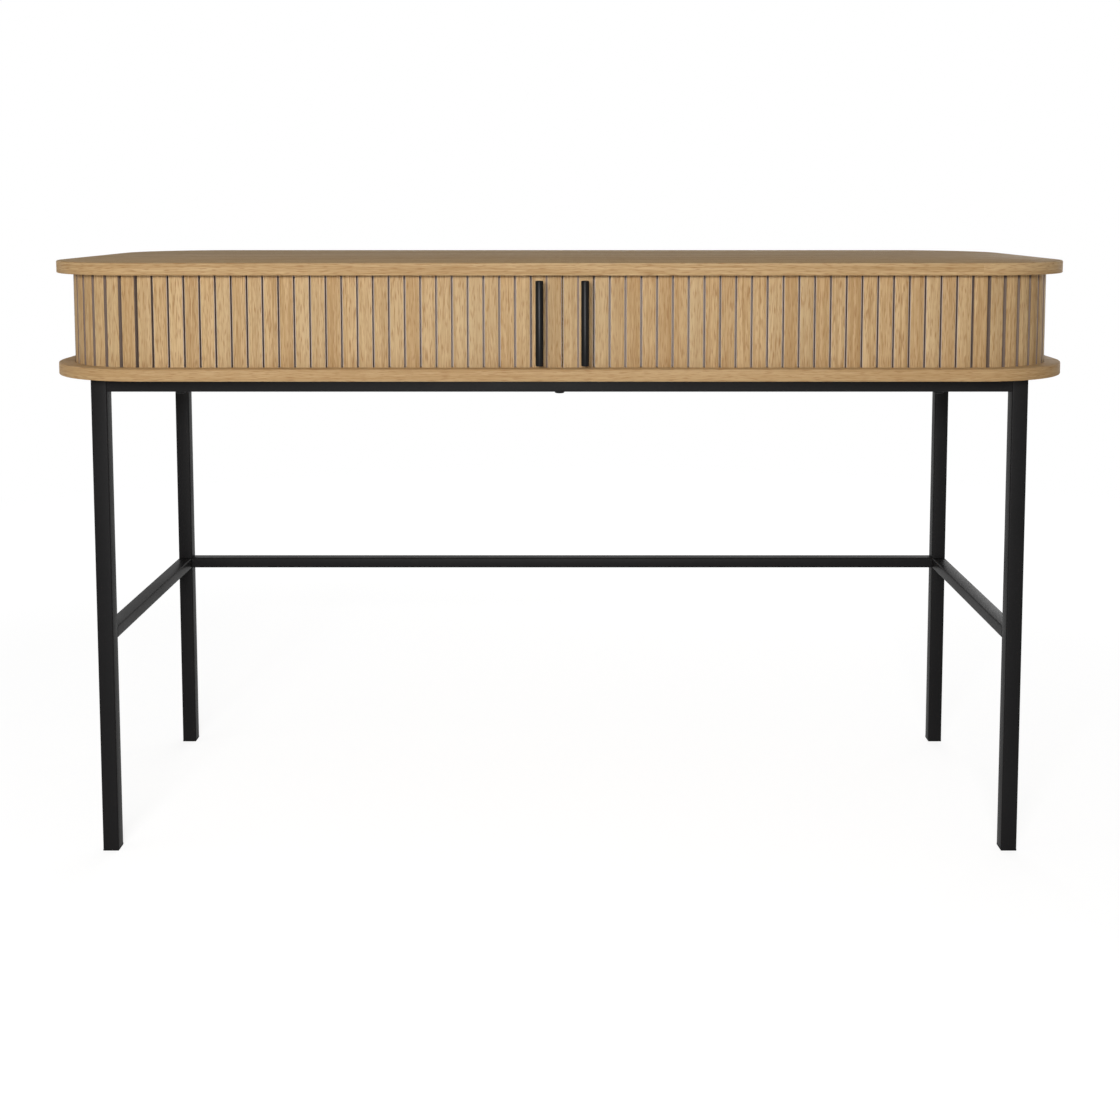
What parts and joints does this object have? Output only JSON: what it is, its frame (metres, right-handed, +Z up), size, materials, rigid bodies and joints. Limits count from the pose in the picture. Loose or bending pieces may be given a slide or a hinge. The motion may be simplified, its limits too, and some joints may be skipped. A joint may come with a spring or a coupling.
{
  "type": "tambour desk",
  "caption": "Writing desk with a shallow round-cornered wood cabinet behind two sliding tambour doors, on a slim black square-tube frame with low stretchers.",
  "frame": {"origin": "on the floor, under the middle of the overall box", "axes": "+X to the desk's right, -Y towards the person seated at it, +Z up"},
  "size_m": [1.27, 0.538, 0.75],
  "materials": {
    "panel_wood": "satin oak veneer",
    "slat_wood": "satin oak",
    "carcass_wood": "satin",
    "frame_black": "satin powder coat",
    "handle_black": "satin",
    "fastener_steel": "blackened",
    "backing_cloth": "matt woven",
    "foot_plastic": "matt"
  },
  "bodies": {
    "desk": {"top_panel": "panel_wood", "bottom_panel": "panel_wood", "left_upright": "carcass_wood", "divider": "carcass_wood", "right_upright": "carcass_wood", "inner_back": "carcass_wood", "outer_back": "carcass_wood", "carcass_dowels": "carcass_wood", "rear_stop": "carcass_wood", "front_left_leg": "frame_black", "front_right_leg": "frame_black", "rear_left_leg": "frame_black", "rear_right_leg": "frame_black", "front_rail": "frame_black", "rear_rail": "frame_black", "left_rail": "frame_black", "right_rail": "frame_black", "left_stretcher": "frame_black", "right_stretcher": "frame_black", "rear_stretcher": "frame_black", "left_corner_slats": "slat_wood", "left_side_slats": "slat_wood", "left_rear_slats": "slat_wood", "right_corner_slats": "slat_wood", "right_side_slats": "slat_wood", "right_rear_slats": "slat_wood", "left_end_cloth": "backing_cloth", "right_end_cloth": "backing_cloth", "rail_bolts": "fastener_steel", "foot_plugs": "foot_plastic"},
    "left_door": {"left_lead_stile": "slat_wood", "left_handle_bar": "handle_black", "left_handle_posts": "handle_black", "left_handle_screws": "fastener_steel", "left_front_slats": "slat_wood", "left_front_cloth": "backing_cloth"},
    "right_door": {"right_lead_stile": "slat_wood", "right_handle_bar": "handle_black", "right_handle_posts": "handle_black", "right_handle_screws": "fastener_steel", "right_front_slats": "slat_wood", "right_front_cloth": "backing_cloth"}
  },
  "joints": [
    {"name": "left_door_slide", "type": "slide", "parent": "desk", "child": "left_door", "axis": [-1, 0, 0], "range_m": [0, 0.452], "deforming": ["left_front_slats", "left_front_cloth"]},
    {"name": "right_door_slide", "type": "slide", "parent": "desk", "child": "right_door", "axis": [1, 0, 0], "range_m": [0, 0.452], "deforming": ["right_front_slats", "right_front_cloth"]}
  ]
}
